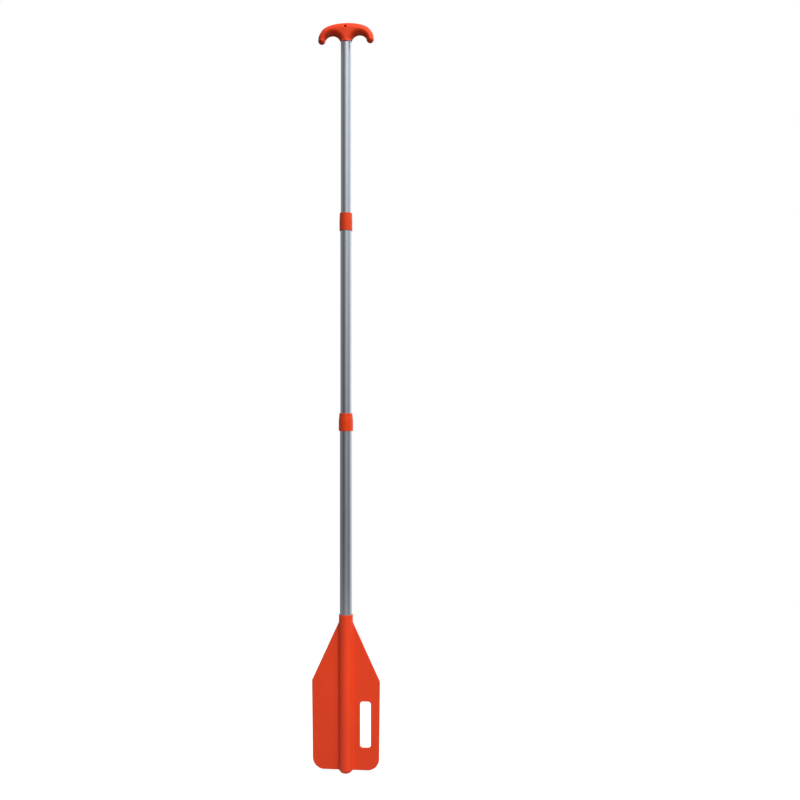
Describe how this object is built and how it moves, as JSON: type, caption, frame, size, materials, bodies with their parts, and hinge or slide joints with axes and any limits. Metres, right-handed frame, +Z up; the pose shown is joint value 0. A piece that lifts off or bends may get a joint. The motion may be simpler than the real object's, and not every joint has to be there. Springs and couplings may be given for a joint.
{
  "type": "telescoping paddle",
  "caption": "Telescoping paddle with a hooked T-grip, a twist-locked round aluminium shaft and a flat one-piece blade with a central rib and a hand slot.",
  "frame": {"origin": "centre of the hanging hole in the grip's crown", "axes": "+Z up the shaft from the blade to the grip, +Y through the hanging hole and square to the blade's faces, +X towards the side of the blade with the hand slot"},
  "size_m": [0.1674, 0.035, 1.8288],
  "materials": {
    "orange_plastic": "satin moulded polypropylene, fine grain",
    "collar_plastic": "satin moulded nylon, tough and slightly glossier than the blade",
    "anodised_aluminium": "satin clear anodised drawn tube",
    "rivet_aluminium": "bright aluminium blind rivet",
    "black_nylon": "matte glass-filled nylon",
    "white_acetal": "smooth natural acetal",
    "stainless_steel": "plain stainless steel"
  },
  "bodies": {
    "upper_section": {"handle": "orange_plastic", "handle_rivet": "rivet_aluminium", "upper_tube": "anodised_aluminium", "upper_cam_plug": "black_nylon", "upper_cam_washer": "stainless_steel", "upper_cam_screw": "stainless_steel"},
    "upper_glide": {"upper_glide_ring": "white_acetal"},
    "upper_cam": {"upper_cam_ring": "white_acetal"},
    "middle_section": {"middle_tube": "anodised_aluminium", "middle_collar": "collar_plastic", "middle_cam_plug": "black_nylon", "middle_cam_washer": "stainless_steel", "middle_cam_screw": "stainless_steel"},
    "middle_glide": {"middle_glide_ring": "white_acetal"},
    "middle_cam": {"middle_cam_ring": "white_acetal"},
    "lower_section": {"lower_tube": "anodised_aluminium", "lower_collar": "collar_plastic", "lower_cam_plug": "black_nylon", "lower_cam_washer": "stainless_steel", "lower_cam_screw": "stainless_steel"},
    "lower_glide": {"lower_glide_ring": "white_acetal"},
    "lower_cam": {"lower_cam_ring": "white_acetal"},
    "blade": {"blade": "orange_plastic"}
  },
  "joints": [
    {"name": "upper_twist", "type": "hinge", "parent": "upper_section", "child": "upper_glide", "pos_m": [0, 0, -0.5362], "axis": [0, 0, 1], "range_deg": [0, 90]},
    {"name": "upper_slide", "type": "slide", "parent": "upper_glide", "child": "middle_section", "axis": [0, 0, 1], "range_m": [0, 0.4159]},
    {"name": "upper_cam_turn", "type": "hinge", "parent": "upper_section", "child": "upper_cam", "pos_m": [0.00032, 0, -0.5432], "axis": [0, 0, 1], "range_deg": [0, 90]},
    {"name": "middle_twist", "type": "hinge", "parent": "middle_section", "child": "middle_glide", "pos_m": [0, 0, -0.9877], "axis": [0, 0, 1], "range_deg": [0, 90]},
    {"name": "middle_slide", "type": "slide", "parent": "middle_glide", "child": "lower_section", "axis": [0, 0, 1], "range_m": [0, 0.4449]},
    {"name": "middle_cam_turn", "type": "hinge", "parent": "middle_section", "child": "middle_cam", "pos_m": [0.00032, 0, -0.9947], "axis": [0, 0, 1], "range_deg": [0, 90]},
    {"name": "lower_twist", "type": "hinge", "parent": "lower_section", "child": "lower_glide", "pos_m": [0, 0, -1.4682], "axis": [0, 0, 1], "range_deg": [0, 90]},
    {"name": "lower_slide", "type": "slide", "parent": "lower_glide", "child": "blade", "axis": [0, 0, 1], "range_m": [0, 0.327]},
    {"name": "lower_cam_turn", "type": "hinge", "parent": "lower_section", "child": "lower_cam", "pos_m": [0.00032, 0, -1.4752], "axis": [0, 0, 1], "range_deg": [0, 90]}
  ],
  "couplings": [
    {"joint": "upper_cam_turn", "follows": "upper_twist", "ratio": 1},
    {"joint": "middle_cam_turn", "follows": "middle_twist", "ratio": 1},
    {"joint": "lower_cam_turn", "follows": "lower_twist", "ratio": 1}
  ]
}
